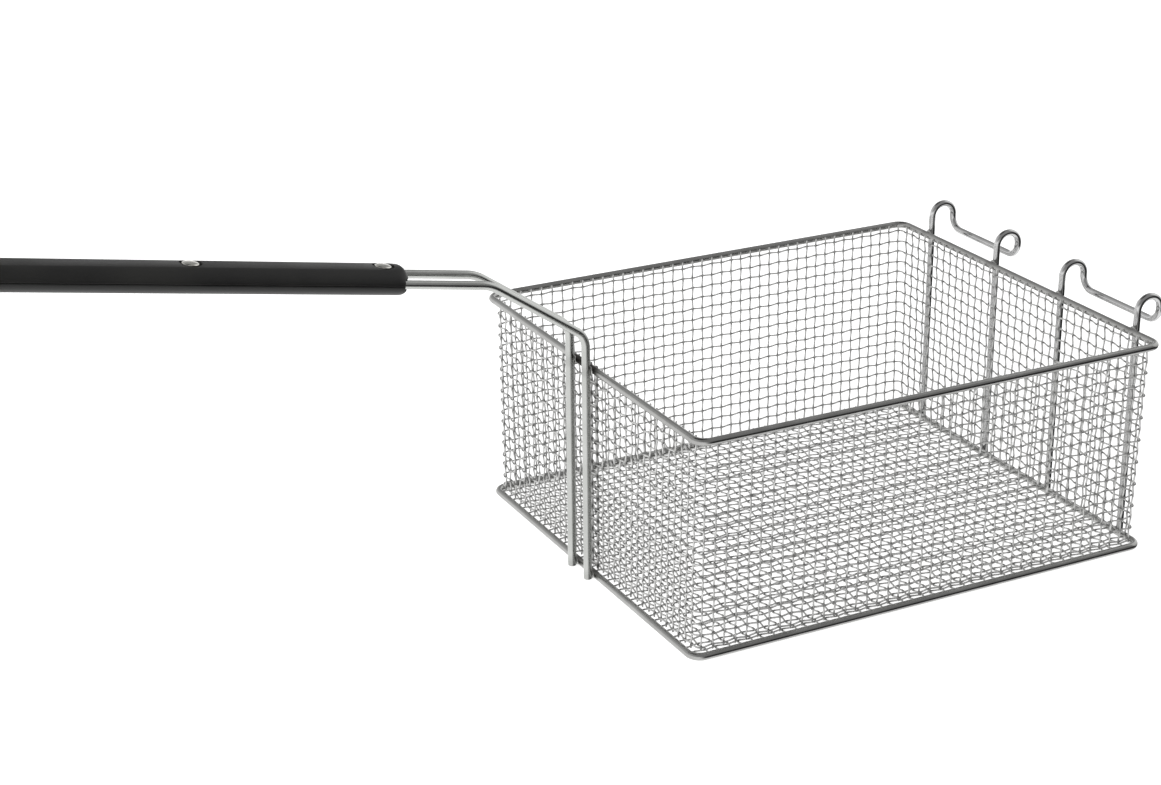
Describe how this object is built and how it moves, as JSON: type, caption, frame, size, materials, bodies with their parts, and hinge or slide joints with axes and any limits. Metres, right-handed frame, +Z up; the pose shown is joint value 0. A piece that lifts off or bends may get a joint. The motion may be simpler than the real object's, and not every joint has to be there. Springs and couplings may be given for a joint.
{
  "type": "deep fryer basket",
  "caption": "Rectangular woven-wire fryer basket with a welded wire frame, double hanging hooks on the back and a bent rod handle with a riveted oval grip.",
  "frame": {"origin": "on the ground under the middle of the whole part's length and width, handle and hooks included", "axes": "+X from the handle towards the hooks, +Z up out of the basket's mouth, +Y to the left when looking along +X"},
  "size_m": [0.747, 0.2948, 0.2751],
  "materials": {
    "frame_wire": "satin nickel plating on heavy steel wire",
    "wire_cloth": "satin nickel plating on woven steel wire",
    "hook_wire": "bright nickel plating",
    "handle_rod": "bright nickel plating with a slight grey-green cast",
    "grip": "fine-grained moulded black plastic",
    "rivet": "plain satin rivet head"
  },
  "bodies": {
    "root": {"top_rim_wire": "frame_wire", "bottom_frame_wire": "frame_wire", "wall_mesh": "wire_cloth", "bottom_mesh": "wire_cloth", "hook_wire_left": "hook_wire", "hook_wire_right": "hook_wire", "handle_rod": "handle_rod", "grip_upper": "grip", "grip_lower": "grip", "grip_rivet_1": "rivet", "grip_rivet_2": "rivet", "grip_rivet_3": "rivet"}
  },
  "joints": []
}
